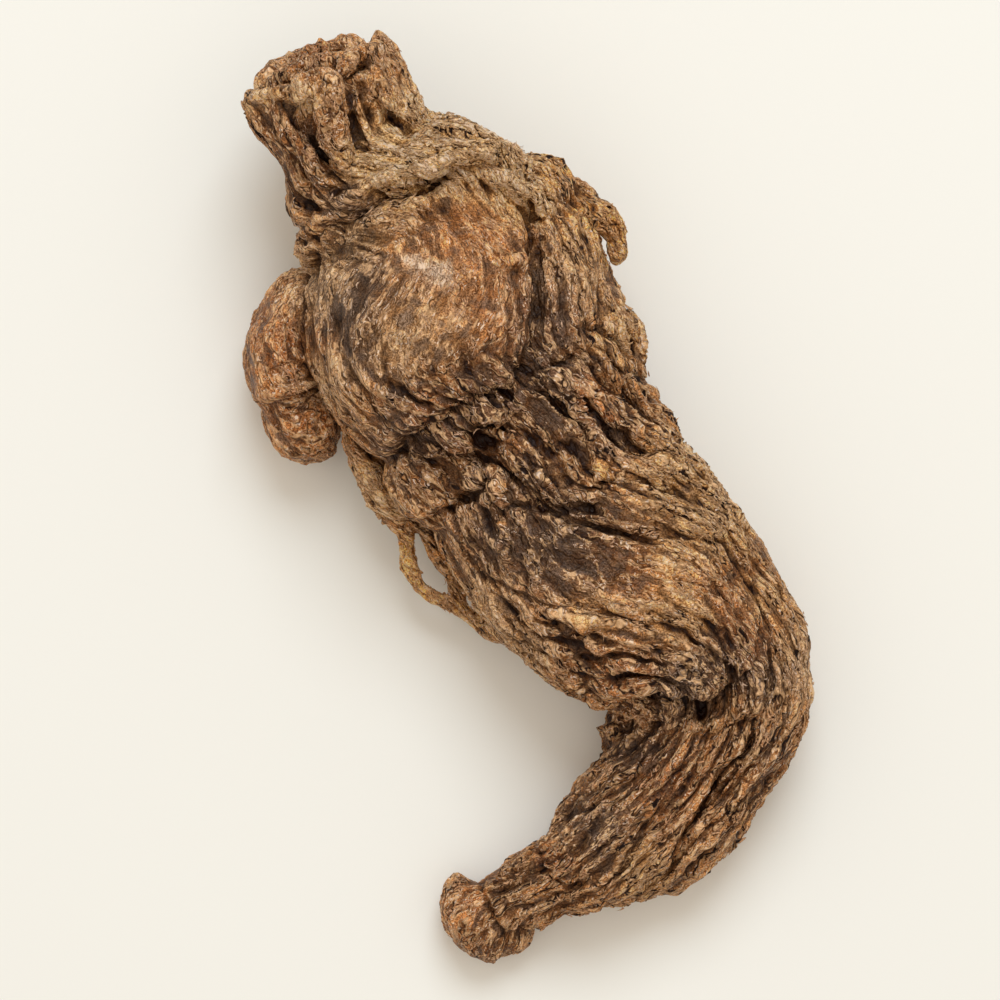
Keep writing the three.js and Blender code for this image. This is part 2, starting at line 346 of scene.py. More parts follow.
# The ribs and the rolls of the lip, as plump bodies.
CROWN_FOLDS = {
    "left_rib": [
        (-31.4, 43.4, 17.6, 0, 0),
        (-30.2, 42.7, 17.6, 1.0, 1.4),
        (-28.7, 41.0, 17.8, 1.2, 1.7),
        (-26.4, 38.8, 17.6, 1.3, 2.2),
        (-24.9, 36.0, 16.8, 1.5, 2.8),
        (-24.3, 32.5, 16.0, 1.8, 2.8),
        (-24.0, 29.6, 15.0, 0, 0),
    ],
    "left_web": [
        (-31.2, 42.9, 17.2, 0, 0),
        (-29.8, 43.3, 17.4, 1.5, 2.0),
        (-28.2, 42.8, 18.0, 2.0, 2.8),
        (-26.4, 41.4, 18.4, 2.0, 3.2),
        (-24.6, 39.0, 18.0, 2.0, 3.2),
        (-23.4, 35.6, 17.2, 0, 0),
    ],
    "front_lip": [
        (-31.0, 42.8, 18.6, 0, 0),
        (-29.7, 43.6, 19.6, 0.9, 1.0),
        (-27.7, 44.0, 22.0, 0.8, 1.1),
        (-25.4, 44.2, 23.8, 0.8, 1.0),
        (-23.9, 44.6, 24.4, 0, 0),
    ],
    "knob_rib": [
        (-25.6, 42.7, 24.0, 0, 0),
        (-24.7, 43.8, 24.7, 1.2, 1.0),
        (-23.5, 44.8, 25.0, 1.5, 1.2),
        (-22.2, 45.1, 25.1, 1.7, 1.3),
        (-21.3, 44.4, 25.0, 1.7, 1.3),
        (-21.1, 42.9, 24.6, 1.6, 1.3),
        (-21.1, 40.6, 23.8, 1.3, 1.3),
        (-20.7, 37.8, 22.7, 1.2, 1.5),
        (-19.2, 34.4, 21.6, 0, 0),
    ],
    "second_rib": [
        (-28.0, 44.2, 21.6, 0, 0),
        (-27.3, 42.6, 22.2, 0.8, 1.2),
        (-26.0, 40.2, 22.0, 0.9, 1.4),
        (-24.0, 37.6, 21.9, 1.0, 1.5),
        (-22.2, 34.8, 21.3, 1.1, 1.6),
        (-21.0, 32.6, 20.6, 0, 0),
    ],
    "fourth_rib": [
        (-18.7, 44.6, 22.6, 0, 0),
        (-18.2, 42.8, 22.9, 0.6, 0.9),
        (-17.4, 40.6, 22.7, 0.7, 1.0),
        (-16.6, 38.2, 22.2, 0, 0),
    ],
    "back_lobe": [
        (-29.2, 44.2, 14.5, 0, 0),
        (-28.8, 45.5, 14.0, 1.2, 1.5),
        (-28.2, 46.8, 13.4, 1.1, 1.4),
        (-26.9, 47.7, 12.8, 0, 0),
    ],
    "back_lip": [
        (-29.2, 45.8, 13.5, 0, 0),
        (-27.6, 47.2, 13.0, 1.0, 1.4),
        (-25.4, 48.4, 12.2, 1.0, 1.6),
        (-22.8, 49.4, 11.8, 1.0, 1.7),
        (-20.3, 50.0, 11.9, 1.0, 1.6),
        (-18.9, 49.6, 12.2, 0.9, 1.4),
        (-17.8, 48.4, 12.8, 0, 0),
    ],
    "torn_middle": [
        (-29.8, 43.6, 17.0, 0, 0),
        (-28.0, 45.0, 17.2, 0.9, 1.4),
        (-26.0, 46.4, 17.8, 0.8, 1.4),
        (-23.8, 47.0, 18.2, 0.9, 1.6),
        (-21.6, 47.6, 18.4, 0.9, 1.6),
        (-19.6, 47.4, 18.6, 0.9, 1.5),
        (-17.6, 47.2, 18.6, 1.0, 1.6),
        (-15.4, 47.0, 18.4, 0, 0),
    ],
    "right_lip": [
        (-20.8, 44.9, 23.6, 0, 0),
        (-20.0, 46.6, 23.0, 0.8, 1.1),
        (-18.8, 47.8, 22.3, 0.9, 1.3),
        (-17.3, 48.6, 21.2, 0.9, 1.5),
        (-16.3, 49.2, 20.0, 0, 0),
    ],
    "right_horn": [
        (-16.6, 51.8, 18.3, 0, 0),
        (-16.0, 50.2, 18.5, 1.2, 1.4),
        (-15.4, 48.4, 18.8, 1.5, 2.0),
        (-14.8, 46.2, 18.8, 1.6, 2.6),
        (-13.8, 43.6, 18.6, 1.6, 3.0),
        (-12.6, 41.0, 18.2, 1.6, 3.2),
        (-11.4, 38.4, 17.4, 0, 0),
    ],
    "horn_rib": [
        (-17.6, 49.8, 20.2, 0, 0),
        (-17.0, 48.0, 21.2, 0.7, 1.0),
        (-16.2, 45.6, 21.8, 0.8, 1.2),
        (-15.0, 43.0, 22.0, 0.8, 1.2),
        (-13.6, 40.4, 21.6, 0, 0),
    ],
}


def bumps_round(angle, bumps):
    """The sum of raised cosines, each as high as its height at its own angle and 0 past its half breadth."""
    total = np.zeros_like(angle)
    for centre, breadth, height in bumps:
        away = (angle - centre + 180) % 360 - 180
        total += height * np.where(np.abs(away) < breadth, 0.5 + 0.5 * np.cos(np.pi * away / breadth), 0)
    return total


def crown():
    """The crown's profile turned about its aim. The lip's height gains the horns, the radius the flutes."""
    rings, sides = 120, 150
    radius, height = smooth_path(CROWN_PROFILE, np.linspace(0, 1, rings)).T[:, :, None]
    angle = np.linspace(-180, 180, sides, endpoint=False)[None, :]
    outer = np.where(np.arange(rings)[:, None] < 0.56 * rings, 1.0, 0.25)
    lip = np.clip((height + 5) / 5, 0, 1) * np.clip(radius / 5, 0, 1)
    radius = np.maximum(radius, 0)
    flutes = outer * (bumps_round(angle, FLUTES) - 0.6)
    flutes = flutes * np.clip(radius / 6, 0, 1) * np.clip((height + 16) / 6, 0, 1)
    flare = lip * bumps_round(angle, FLARES)
    rise = height + lip * bumps_round(angle, HORNS)
    reach = radius + flutes + flare
    turn = np.radians(angle)[..., None]
    level, upright = across(CROWN_AIM[None])
    points = (
        CROWN_CENTRE
        + CROWN_AIM * rise[..., None]
        - level * reach[..., None] * np.cos(turn)
        + upright * reach[..., None] * np.sin(turn) * CROWN_FLATTENING
    )
    return points.reshape(-1, 3), grid_faces(rings, sides)


forms += [crown()] + [swelling(rows) for rows in CROWN_FOLDS.values()]

# One skin over all the forms, as the root's own: they are joined, and a fine skin is drawn over their
# outside. The width of its faces is in millimetres.
SKIN_STEP = 0.23


def new_mesh(name, points, faces):
    """A mesh object from an array of points in millimetres and an array of faces of equal size."""
    mesh = bpy.data.meshes.new(name)
    mesh.vertices.add(len(points))
    mesh.vertices.foreach_set("co", (np.asarray(points) * 0.001 * SIZE).ravel())
    sides = faces.shape[1]
    mesh.loops.add(faces.size)
    mesh.loops.foreach_set("vertex_index", faces.ravel().astype(np.int32))
    mesh.polygons.add(len(faces))
    mesh.polygons.foreach_set("loop_start", np.arange(len(faces), dtype=np.int32) * sides)
    mesh.update(calc_edges=True)
    piece = bpy.data.objects.new(name, mesh)
    bpy.context.scene.collection.objects.link(piece)
    return piece


def joined(parts):
    """Several arrays of points and faces as one."""
    starts = np.cumsum([0] + [len(points) for points, _ in parts[:-1]])
    faces = [face + start for (_, face), start in zip(parts, starts)]
    return np.vstack([points for points, _ in parts]), np.vstack(faces)


def settle(piece):
    """Applies the piece's modifiers to its mesh."""
    graph = bpy.context.evaluated_depsgraph_get()
    mesh = bpy.data.meshes.new_from_object(piece.evaluated_get(graph))
    piece.modifiers.clear()
    piece.data = mesh


def reskin(piece):
    """One even skin over everything the piece holds."""
    remesh = piece.modifiers.new("skin", "REMESH")
    remesh.mode = "VOXEL"
    remesh.voxel_size = SKIN_STEP * 0.001
    settle(piece)


def read_points(piece):
    """The piece's points, in millimetres."""
    points = np.empty(3 * len(piece.data.vertices))
    piece.data.vertices.foreach_get("co", points)
    return points.reshape(-1, 3) * 1000 / SIZE


def read_normals(piece):
    """The outward direction at each point."""
    normals = np.empty(3 * len(piece.data.vertices), np.float32)
    piece.data.vertex_normals.foreach_get("vector", normals)
    return normals.reshape(-1, 3).astype(float)


def read_edges(piece):
    """The two point numbers of each edge."""
    edges = np.empty(2 * len(piece.data.edges), np.int32)
    piece.data.edges.foreach_get("vertices", edges)
    return edges.reshape(-1, 2)


def write_points(piece, points):
    """Moves the piece's points."""
    piece.data.vertices.foreach_set("co", (points * 0.001 * SIZE).ravel())
    piece.data.update()


def spread(values, edges, rounds, share=0.6):
    """Each value moves towards the mean of its neighbours, by that share, that many times."""
    count = len(values)
    first, second = edges.T
    degree = np.bincount(edges.ravel(), minlength=count)
    flat = values.reshape(count, -1).copy()
    for _ in range(rounds):
        for column in flat.T:
            around = np.bincount(first, column[second], count) + np.bincount(second, column[first], count)
            column += share * (around / degree - column)
    return flat.reshape(values.shape)


root = new_mesh("root_skin", *joined(forms))
reskin(root)

edges = read_edges(root)
points = spread(read_points(root), edges, 8)
write_points(root, points)


# Unevenness of the flesh: swellings and hollows a few millimetres across.
def noise(places, seed):
    """Gradient noise. Each corner of the unit cell round a place has a fixed random direction; its product
    with the way from the corner is blended over the eight corners by 6t^5 - 15t^4 + 10t^3."""
    draw = np.random.default_rng(seed)
    ways = unit(draw.normal(size=(256, 3))).astype(np.float32)
    order = draw.permutation(256)
    cell = np.floor(places).astype(np.int32)
    local = (places - cell).astype(np.float32)
    blend = local**3 * (local * (local * 6 - 15) + 10)
    total = np.zeros(len(places), np.float32)
    for x in (0, 1):
        first = order[(cell[:, 0] + x) & 255]
        x_part = blend[:, 0] if x else 1 - blend[:, 0]
        for y in (0, 1):
            second = order[(first + cell[:, 1] + y) & 255]
            xy_part = x_part * (blend[:, 1] if y else 1 - blend[:, 1])
            for z in (0, 1):
                way = ways[order[(second + cell[:, 2] + z) & 255]]
                share = xy_part * (blend[:, 2] if z else 1 - blend[:, 2])
                offset = local - np.array((x, y, z), np.float32)
                total += share * np.einsum("ij,ij->i", way, offset)
    return total * 1.6


normals = read_normals(root)
lumps = 0.55 * noise(points / 5.5, 1) + 0.3 * noise(points / 2.6, 2)
points += normals * lumps[:, None]

# Creases and folds drawn over the upper side: where the flesh gathered, folded over itself or was pinched.
# Each is its depth, its half breadth, and the places it passes through, in plan.
CREASES = [
    (0.7, 0.3, [(4.4, 32.5), (6.7, 32.0), (8.9, 30.9), (10.1, 29.0)]),
    (1.8, 0.7, [(0.1, 32.3), (0.7, 27.4), (1, 21.9), (0.7, 17.5), (-0.3, 13.8)]),
    (2.2, 0.8, [(0.1, 14), (-2.4, 11.8), (-5.4, 10.9), (-7.6, 9.7), (-10, 7.9), (-12.7, 6.5), (-14.2, 5.2)]),
    (0.5, 0.36, [(-22.6, 26.1), (-23.5, 19.7), (-22.6, 14.2), (-20, 9.8), (-16.4, 6.4)]),
    (0.5, 0.36, [(-20.8, 21.9), (-20, 15.8), (-17.1, 10.3), (-13.8, 7.4)]),
    (0.6, 0.36, [(-19.2, 13.6), (-15.6, 10.7), (-10.4, 8.7)]),
    (0.5, 0.36, [(-16.4, 13.3), (-11.8, 10.9), (-8.2, 10.4)]),
    (0.5, 0.36, [(3.2, 29.4), (5, 25.4), (5.8, 20.6)]),
    (0.6, 0.36, [(6.4, 26.1), (7.8, 21.9), (8, 18.6)]),
    (2.6, 0.8, [(-21.7, 28.7), (-19.5, 30), (-15.7, 32.5), (-13.8, 33), (-10.7, 34), (-8.2, 35.8)]),
    (1.8, 0.65, [(-8.2, 35.8), (-4.1, 36.6), (-0.6, 35.5), (2.3, 33.3), (3.9, 31.6)]),
    (1.0, 0.5, [(-26.1, 34.2), (-24.1, 32), (-20.8, 31.4), (-17.3, 32.2), (-15.5, 33.8)]),
    (0.9, 0.43, [(-25.4, 27.8), (-23.2, 28.9), (-20.6, 30.2)]),
    (1.0, 0.5, [(5.6, 18.6), (8.5, 17.9), (10.4, 16.2), (11.1, 14)]),
    (0.7, 0.5, [(-8.9, 7.8), (-6.3, 8.2), (-3, 7.8), (0.3, 6.5), (3.6, 5.2), (5.8, 6.5)]),
    (1.6, 0.5, [(-10, 5.7), (-8.2, 5.6), (-5.2, 4.5), (-1.9, 3), (0.1, 1), (1.4, -0.6)]),
    (0.7, 0.43, [(-4.5, 6.9), (-1.6, 5.8), (0.6, 4.1), (2.3, 2.1), (4.3, 1.4)]),
    (0.9, 0.43, [(-0.8, 13.5), (2, 14), (4.3, 15.1), (5.8, 16.2)]),
    (1.7, 0.5, [(5, 11.8), (7.2, 8.7), (9.3, 6.5), (13.5, 4.7), (17.9, 2.1), (20.9, -0.6)]),
    (1.2, 0.5, [(7.2, 14.4), (9.3, 11.8), (12, 9.8), (14.1, 7.4), (17.9, 5.2)]),
    (0.9, 0.43, [(8.7, 15.3), (11.3, 13.3), (13.5, 10.7), (15.1, 8)]),
    (1.2, 0.58, [(1.4, 12.7), (3.2, 10.4), (5.8, 8.2), (6.9, 6.5)]),
    (1.4, 0.5, [(0.3, 1.3), (1.8, -0.4), (4.7, -1.2), (8.5, -0.4)]),
    (1.2, 0.43, [(-2.6, -0.9), (0.3, -0.7), (3.3, -1.5), (5.5, -2.6), (10.6, -3.6), (13.3, -4),
                 (15.9, -3.2)]),
    (0.8, 0.36, [(1.4, -2.5), (8.4, -3.2), (13, -4.3), (17.3, -3.9), (21.2, -4.6)]),
    (0.9, 0.43, [(3.6, 2.3), (6.9, 1.4), (10.2, 2.1), (14.6, 1.2), (19, -0.7), (22.9, -4)]),
    (0.6, 0.36, [(14.2, -8.4), (17.9, -8.9), (21.8, -11.1), (24.8, -15.5)]),
    (0.8, 0.36, [(4.4, -11.9), (8.4, -12.3), (12.1, -13.6), (15.1, -14.2)]),
    (1.0, 0.36, [(1, -13), (5.5, -14.2), (8.6, -15.3), (13.9, -16.1), (19.4, -17.2)]),
    (1.1, 0.43, [(6.2, -17.2), (10.2, -16.6), (14.1, -17.7), (17.9, -19.9)]),
    (1.2, 0.43, [(8.4, -19.7), (12.1, -18.8), (15.7, -19.6), (18.4, -21.4)]),
    (0.6, 0.36, [(-6.3, -6.7), (-2.4, -9.5), (1.4, -11.1), (5.8, -11.8)]),
    (0.7, 0.36, [(-3, -11.1), (1.4, -14.6), (5.8, -15.5)]),
    (0.8, 0.36, [(-0.3, -15.5), (3.6, -17.2), (8, -17.7)]),
    (0.7, 0.36, [(19, -12.8), (21.8, -15.5), (23.2, -19)]),
    (0.7, 0.36, [(25.1, -11.1), (26.5, -15.5), (26.7, -19.9)]),
    (3.4, 0.9, [(9.3, -22.8), (12.7, -21.9), (15.4, -21.6), (17.8, -22.7), (20.2, -22.3), (22.9, -19.7)]),
    (1.0, 0.36, [(22.9, -19.7), (20.4, -16.6), (17.9, -15.1)]),
    (1.0, 0.36, [(23.2, -19.9), (24.8, -17.2), (25.3, -13.9)]),
    (1.8, 0.5, [(25.7, -18.6), (25.9, -22.1), (24.8, -25), (23.6, -27.4), (21.2, -29.6)]),
    (1.8, 0.58, [(21.2, -29.6), (20.2, -32.6), (18.1, -36), (16.2, -39.7), (13.4, -42.5)]),
    (0.9, 0.36, [(27.5, -16.6), (28.8, -21.4), (27.8, -25.6), (25.2, -28.9), (21.7, -32.6), (19.6, -37.3)]),
    (0.7, 0.36, [(29.7, -13.9), (30.9, -19.7), (29.9, -25.5), (26.5, -30.4), (22.4, -36), (17.9, -40.8)]),
    (0.9, 0.43, [(13.8, -25.4), (11.3, -30.4), (5.8, -34.4), (3.6, -36.6)]),
    (0.9, 0.36, [(18.9, -25.5), (16.2, -30.5), (13.4, -35.3), (11.3, -38.6), (9.7, -41.9)]),
    (0.8, 0.36, [(19, -22.1), (19.6, -25.4), (17.9, -29.3)]),
    (0.9, 0.36, [(1.4, -38.1), (2.1, -40.6), (3.9, -42.4), (5.8, -41.9)]),
    (1.0, 0.43, [(3.9, -44.1), (2.5, -45.4), (0.3, -46.3)]),
    (1.0, 0.36, [(-5.4, -41.7), (-4.7, -44.1), (-3.6, -46.9), (-2.4, -48)]),
    (1.3, 0.5, [(-14, 5.1), (-10.7, 6.5), (-6.5, 4.5), (-4.1, 2.4), (-6, 0.6), (-9.6, -1.6), (-12.7, -2.3)]),
    (1.0, 0.43, [(-29.8, 10.4), (-26.6, 10.6), (-24.4, 11.3), (-22.8, 12.7)]),
]
# The ridges between them are given in the same way.
RIDGES = [
    (1.6, 1.0, [(-19.8, 31.9), (-16.9, 33.8), (-13.8, 35.2), (-10.5, 36.4), (-7.6, 37.1), (-4.1, 37.3),
                (-1.0, 36.2)]),
    (0.5, 0.8, [(-9.4, 24.7), (-9.0, 24.2)]),
    (0.45, 0.7, [(-11.4, 24.3), (-11.0, 24.0)]),
    (0.4, 0.6, [(-15.6, 25.4), (-15.3, 25.0)]),
    (1.0, 1.2, [(-9.6, 8.4), (-6.3, 9.7), (-2.6, 9.7), (0, 8.5), (3.3, 7.5), (6.2, 6.9)]),
    (1.0, 1.1, [(-10.3, 6.7), (-7.7, 6.3), (-4.8, 5.4), (-1.5, 4.6), (1.1, 2.5), (2.1, 0.8)]),
    (0.8, 0.9, [(-2.6, 7.4), (0.3, 6.2), (3.3, 5.7), (4.8, 4.1), (5.5, 2.8)]),
    (1.3, 1.2, [(1.8, 13.1), (4.7, 12.9), (6.7, 10.9), (7.8, 9.4), (9.9, 7.6), (13.5, 6.4), (17.9, 3.5)]),
    (1.1, 1.1, [(6.2, 15), (9.1, 13.1), (12.1, 10.9), (14.3, 8.4), (16, 7.2)]),
    (0.9, 0.9, [(9.5, 15.5), (12.1, 14.2), (14, 11.8), (15.5, 9.2)]),
    (1.2, 1.4, [(8.4, 4), (13.9, 3.2), (17.9, 1.2), (21.5, -2.1), (24, -5.1), (25.9, -8.4)]),
    (0.8, 1.2, [(8, -0.1), (13.5, -1), (17.9, -2.3), (20.7, -3.4)]),
    (0.7, 0.9, [(2, -12), (6.9, -13.3), (12.4, -14.6), (16.8, -15.5)]),
    (0.8, 0.9, [(5.8, -15.7), (10.2, -15.5), (14.6, -16.4), (19, -18.6)]),
    (0.8, 0.9, [(8, -18.6), (12.4, -17.7), (16.8, -18.6), (19, -20.1)]),
    (1.2, 1.0, [(23.4, -19), (25.3, -22.1), (24.3, -25.4), (22.9, -28.2)]),
    (1.0, 1.6, [(3.3, -40.7), (3.5, -39.6)]),
]


def beside(places, path):
    """How far each place is from a smooth path in plan, and how far along it the nearest point lies."""
    line = smooth_path(path, np.linspace(0, 1, 8 * len(path)))
    start, way = line[:-1], np.diff(line, axis=0)
    best = np.full(len(places), 1e9)
    along = np.zeros(len(places))
    for i, (a, b) in enumerate(zip(start, way)):
        t = np.clip(((places - a) @ b) / max(b @ b, 1e-9), 0, 1)
        gap = np.hypot(*(places - a - t[:, None] * b).T)
        nearer = gap < best
        best[nearer] = gap[nearer]
        along[nearer] = (i + t[nearer]) / len(way)
    return best, along


def drawn_folds(points, normals, strokes, sharpness, lip=0.0):
    """The sum of the strokes, fading towards both ends. Each is its depth times exp(-(distance /
    breadth)^sharpness), less lip exp(-(distance / breadth - 2)^2), its lips on either side."""
    height = np.zeros(len(points))
    facing = np.clip((normals[:, 2] + 0.25) / 0.5, 0, 1)
    plan = points[:, :2] + 0.45 * np.stack([noise(points / 3.0, 31), noise(points / 3.0, 32)], 1)
    for depth, breadth, path in strokes:
        low, high = np.min(path, axis=0) - 4 * breadth, np.max(path, axis=0) + 4 * breadth
        near = np.where(((plan > low) & (plan < high)).all(1) & (facing > 0))[0]
        gap, along = beside(plan[near], path)
        ends = np.clip(4.5 * np.minimum(along, 1 - along) + 0.25, 0, 1)
        profile = np.exp(-((gap / breadth) ** sharpness)) - lip * np.exp(-((gap / breadth - 2) ** 2))
        height[near] += depth * ends * profile * facing[near]
    return height


write_points(root, points)
normals = read_normals(root)
folds = drawn_folds(points, normals, RIDGES, 2.0) - drawn_folds(points, normals, CREASES, 1.2, 0.35)
points += normals * folds[:, None]
points = spread(points, edges, 2)
write_points(root, points)
reskin(root)

# The skin's colour. The dried skin is dark and satiny where it is whole, in the hollows, and tan and dull
# where it is rubbed, cracked or flaking, on the ridges. Painted shade also darkens the hollows, the creases
# and the lines under the fold edges, and painted light lightens the crests. Broad patches of it are redder,
# greyer or blacker.
BROWN = (136, 101, 70)
TAN = (203, 160, 114)
# PALE is also the colour of the painted glints.
PALE = (247, 208, 172)
ORANGE = (160, 112, 74)
RUST = (122, 80, 50)
UMBER = (92, 64, 42)
BLUE_BLACK = (62, 54, 50)
GREY_TAN = (164, 134, 102)
GOLD = (188, 138, 86)
# NEARLY_BLACK is the colour of the painted shade in the creases, furrows and hollows.
NEARLY_BLACK = (40, 17, 3)
GREY_BROWN = (92, 74, 62)
# AMBER is the colour of the painted highlight on the lit fold edges.
AMBER = (226, 176, 128)
STRAW = (255, 204, 146)
# Each patch is its place in plan, its radius, its colour and its strength.
PATCHES = [
    (-6.3, 28.5, 4.6, ORANGE, 1.4),
    (-3.0, 18.6, 5.0, ORANGE, 1.0),
    (-5.2, 32.9, 2.8, RUST, 1.4),
    (-11.0, 31.0, 2.6, UMBER, 1.8),
    (-9.6, 24.6, 1.2, PALE, 2.5),
    (-12.0, 25.2, 0.9, PALE, 2.0),
    (-19.6, 20.6, 2.8, BLUE_BLACK, 4.0),
    (-17.6, 24.4, 2.0, BLUE_BLACK, 2.2),
    (-18.4, 15.4, 2.2, BLUE_BLACK, 2.2),
    (-15.2, 21.0, 2.2, UMBER, 1.0),
    (1.2, 20.2, 3.0, BLUE_BLACK, 3.6),
    (0.9, 15.3, 2.2, BLUE_BLACK, 3.0),
    (-3.0, 13.4, 2.2, BLUE_BLACK, 2.6),
    (1.0, 26.0, 1.6, UMBER, 1.4),
    (-22.8, 23.0, 3.0, GREY_TAN, 3.0),
    (-18.4, 28.5, 2.2, GREY_TAN, 2.0),
    (-9.6, 15.3, 2.4, UMBER, 1.6),
    (-5.2, 15.3, 2.2, UMBER, 2.4),
    (-13.6, 11.2, 2.0, BLUE_BLACK, 2.4),
    (-5.2, 10.9, 2.4, BLUE_BLACK, 3.0),
    (-9.6, 7.4, 2.4, BLUE_BLACK, 3.0),
    (-14.0, 6.5, 2.2, BLUE_BLACK, 4.0),
    (-14.0, 2.1, 1.6, UMBER, 3.0),
    (-5.2, 2.1, 1.6, BLUE_BLACK, 3.0),
    (-0.8, 2.1, 2.0, BLUE_BLACK, 2.0),
    (8.0, 6.5, 1.6, BLUE_BLACK, 2.6),
    (-9.6, -6.7, 1.8, BROWN, 2.0),
    (-21.7, 13.1, 2.8, GREY_TAN, 1.4),
    (-14.0, 17.6, 3.8, GREY_TAN, 0.8),
    (-10.0, 16.0, 4.0, GREY_TAN, 0.8),
    (-16.2, 8.6, 3.2, BROWN, 1.5),
    (-10.0, 10.5, 3.4, RUST, 1.4),
    (5.2, 25.6, 3.2, GREY_TAN, 1.0),
    (-3.4, 1.2, 0.6, GOLD, 0.8),
    (-2.8, -2.4, 0.6, GOLD, 0.8),
    (7.6, 5.9, 0.6, GOLD, 0.8),
    (7.9, 3.4, 0.6, GOLD, 0.8),
    (2.2, 36.0, 1.8, GOLD, 2.0),
    (6.6, 31.6, 2.0, GOLD, 2.0),
    (-14.6, 36.4, 3.4, STRAW, 3.6),
    (-9.4, 38.2, 3.8, STRAW, 5.0),
    (-12.0, 39.6, 1.5, GOLD, 3.0),
    (-6.6, 37.0, 1.2, GOLD, 3.0),
    (-17.0, 39.4, 1.4, UMBER, 2.6),
    (-4.4, 34.8, 1.2, RUST, 2.4),
    (-3.4, 36.8, 3.6, STRAW, 3.6),
    (-0.8, 33.2, 2.2, STRAW, 3.0),
    (3.6, 32.6, 1.2, UMBER, 2.0),
    (-27.2, 41.7, 1.8, UMBER, 3.0),
    (-23.2, 38.4, 2.4, UMBER, 4.0),
    (-18.6, 32.0, 1.8, BLUE_BLACK, 5.0),
    (-14.0, 32.4, 1.3, UMBER, 3.0),
    (9.2, 28.6, 3.0, GOLD, 1.4),
    (-22.8, 49.6, 2.0, ORANGE, 2.4),
    (-23.8, 47.2, 1.4, UMBER, 4.0),
    (-27.6, 45.8, 1.0, UMBER, 2.5),
    (-28.6, 43.4, 1.4, TAN, 1.6),
    (-24.6, 43.4, 1.6, TAN, 1.6),
    (-20.4, 46.0, 1.0, UMBER, 2.5),
    (-27.5, 38.5, 3.4, UMBER, 1.6),
    (-20.5, 40.0, 3.0, UMBER, 1.2),
    (-26.6, 17.5, 4.4, RUST, 1.6),
    (-25.0, 9.0, 3.4, RUST, 1.0),
    (-27.0, 22.5, 2.4, ORANGE, 0.7),
    (-2.0, 8.0, 5.0, UMBER, 1.2),
    (3.1, 11.4, 3.0, BLUE_BLACK, 2.6),
    (6.6, 11.2, 1.3, ORANGE, 2.2),
    (8.0, 9.0, 1.2, RUST, 2.2),
    (11.0, 9.0, 2.6, UMBER, 0.8),
    (10.5, 18.5, 2.4, TAN, 1.0),
    (-10.7, 2.1, 3.6, UMBER, 1.2),
    (-16.4, 1.0, 2.2, TAN, 2.4),
    (-17.5, 5.0, 1.8, BROWN, 1.4),
    (-13.3, -6.8, 2.2, GOLD, 3.0),
    (-11.4, -10.4, 2.0, GOLD, 3.0),
    (-7.0, -12.9, 1.6, GOLD, 2.2),
    (3.6, -4.5, 4.4, BLUE_BLACK, 2.6),
    (-3.6, -3.6, 2.8, BLUE_BLACK, 1.6),
    (8.6, -7.0, 3.6, UMBER, 2.0),
    (6.0, -16.0, 3.0, UMBER, 1.2),
    (13.0, -8.6, 3.0, RUST, 1.2),
    (14.6, -6.8, 1.8, TAN, 1.4),
    (14.8, -11.9, 2.2, TAN, 1.4),
    (18.2, -13.4, 1.6, TAN, 1.0),
    (20.4, -2.6, 3.0, TAN, 1.8),
    (16.6, 3.0, 3.4, TAN, 1.6),
    (21.4, -17.0, 2.8, BLUE_BLACK, 2.4),
    (24.2, -14.6, 2.8, RUST, 1.4),
    (22.0, -10.0, 3.0, RUST, 0.8),
    (-5.4, -12.0, 2.8, GREY_TAN, 1.2),
    (-0.6, -16.8, 2.8, GREY_TAN, 1.2),
    (7.0, -12.2, 2.0, TAN, 1.2),
    (10.0, -19.0, 2.4, RUST, 1.2),
    (16.2, -20.6, 2.4, BLUE_BLACK, 5.0),
    (12.2, -20.0, 2.0, UMBER, 2.6),
    (25.6, -19.9, 1.8, BLUE_BLACK, 2.4),
    (25.6, -11.1, 2.0, TAN, 1.4),
    (30.0, -17.7, 3.6, GREY_TAN, 0.8),
    (15.7, -30.9, 3.6, RUST, 1.2),
    (8.0, -36.4, 2.8, BLUE_BLACK, 2.0),
    (12.6, -27.4, 2.4, BLUE_BLACK, 2.0),
    (25.0, -28.8, 2.6, UMBER, 2.4),
    (12.6, -40.8, 1.8, TAN, 1.6),
    (3.2, -40.2, 1.6, RUST, 2.0),
    (-2.0, -43.4, 2.4, UMBER, 1.4),
    (-6.8, -45.4, 2.4, RUST, 1.0),
    (-4.6, -50.0, 1.8, UMBER, 2.0),
]


def linear(colour):
    """A screen colour, 0 to 255, as light: ((c + 0.055) / 1.055)^2.4, or c / 12.92 in the darks."""
    c = np.asarray(colour, float) / 255
    return np.where(c > 0.04045, ((c + 0.055) / 1.055) ** 2.4, c / 12.92)


def skin_colour(points):
    """The patches' mean colour at each point, weighted by strength times exp(-(distance / radius)^2)."""
    warp = np.stack([noise(points / 2.8, 41), noise(points / 2.8, 42)], 1)
    warp += 0.5 * np.stack([noise(points / 1.1, 43), noise(points / 1.1, 44)], 1)
    plan = points[:, :2] + 1.1 * warp
    total = np.full(len(points), 0.55)
    colour = total[:, None] * linear(BROWN)
    for x, y, radius, patch, strength in PATCHES:
        weight = strength * np.exp(-((plan[:, 0] - x) ** 2 + (plan[:, 1] - y) ** 2) / radius**2)
        total += weight
        colour += weight[:, None] * linear(patch)
    return colour / total[:, None]


